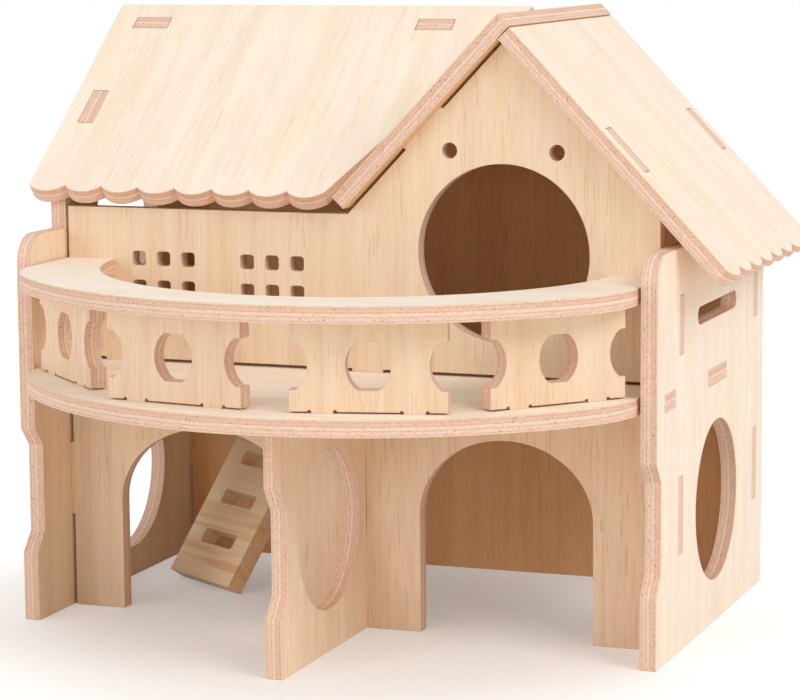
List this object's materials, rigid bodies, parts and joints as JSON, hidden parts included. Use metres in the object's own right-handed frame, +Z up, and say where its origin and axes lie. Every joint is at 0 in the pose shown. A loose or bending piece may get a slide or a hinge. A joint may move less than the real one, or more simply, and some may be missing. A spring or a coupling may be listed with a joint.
{
  "type": "wooden hamster house",
  "caption": "Two-storey house for small pets, slotted together from plywood boards, with a curved balcony, arched and round doors, a gabled roof with scalloped eaves and a loose ladder.",
  "frame": {"origin": "on the ground, under the middle of the lower front wall's thickness, halfway between the outer faces of the side panels", "axes": "+X to the house's right seen from the front, +Y from the front wall to the back wall, +Z up"},
  "size_m": [0.2738, 0.2391, 0.2272],
  "materials": {
    "plywood": "bare sanded pale veneer with pinkish layered edges",
    "roof_plywood": "bare sanded pale veneer, grain running down the slope",
    "solid_wood": "bare sanded tan solid wood"
  },
  "bodies": {
    "house": {"left_side_panel": "plywood", "right_side_panel": "plywood", "balcony_support": "plywood", "lower_front_wall": "plywood", "upper_front_wall": "plywood", "back_wall": "plywood", "balcony_floor": "plywood", "balcony_rail": "plywood", "baluster_left_outer": "plywood", "baluster_left_inner": "plywood", "baluster_right_inner": "plywood", "baluster_right_outer": "plywood", "main_roof_back_board": "roof_plywood", "gable_roof_left_board": "roof_plywood"},
    "roof_front": {"main_roof_front_board": "roof_plywood"},
    "roof_right": {"gable_roof_right_board": "roof_plywood"},
    "ladder": {"ladder": "solid_wood"}
  },
  "joints": [
    {"name": "main_roof_lift_off", "type": "slide", "parent": "house", "child": "roof_front", "axis": [0, -0.6093, 0.793], "range_m": [0, 0.03]},
    {"name": "gable_roof_lift_off", "type": "slide", "parent": "house", "child": "roof_right", "axis": [0.7242, 0, 0.6896], "range_m": [0, 0.03]},
    {"name": "ladder_lift_out", "type": "slide", "parent": "house", "child": "ladder", "axis": [0, 0, 1], "range_m": [0, 0.04]}
  ]
}
